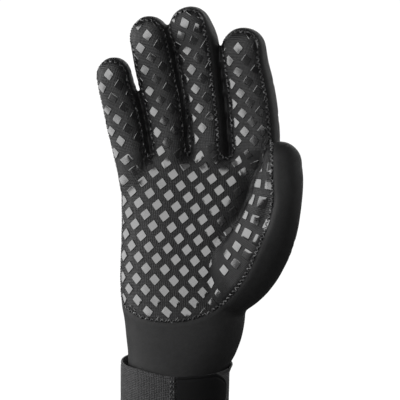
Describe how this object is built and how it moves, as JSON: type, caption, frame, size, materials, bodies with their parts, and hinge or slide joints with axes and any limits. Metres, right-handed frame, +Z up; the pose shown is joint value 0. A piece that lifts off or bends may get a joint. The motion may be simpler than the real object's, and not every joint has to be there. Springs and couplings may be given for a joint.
{
  "type": "neoprene sports glove",
  "caption": "Right-hand neoprene water-sports glove with a raised diamond grip print on the palm and a wrist strap, in the shape it takes on a hand.",
  "frame": {"origin": "middle of the cuff's open mouth", "axes": "+Z up from the mouth to the fingertips, -Y out of the palm, +X towards the thumb"},
  "size_m": [0.1264, 0.0733, 0.2791],
  "materials": {
    "printed_neoprene": "charcoal knit face with raised glossy black silicone diamonds",
    "plain_neoprene": "smooth matt black knit-faced neoprene",
    "woven_strap": "dark grey plain-woven webbing",
    "tab_fabric": "smooth black welded fabric over hook tape"
  },
  "bodies": {
    "root": {"palm_panel": "printed_neoprene", "body_panel": "plain_neoprene", "wrist_strap": "woven_strap", "closure_tab": "tab_fabric"}
  },
  "joints": []
}
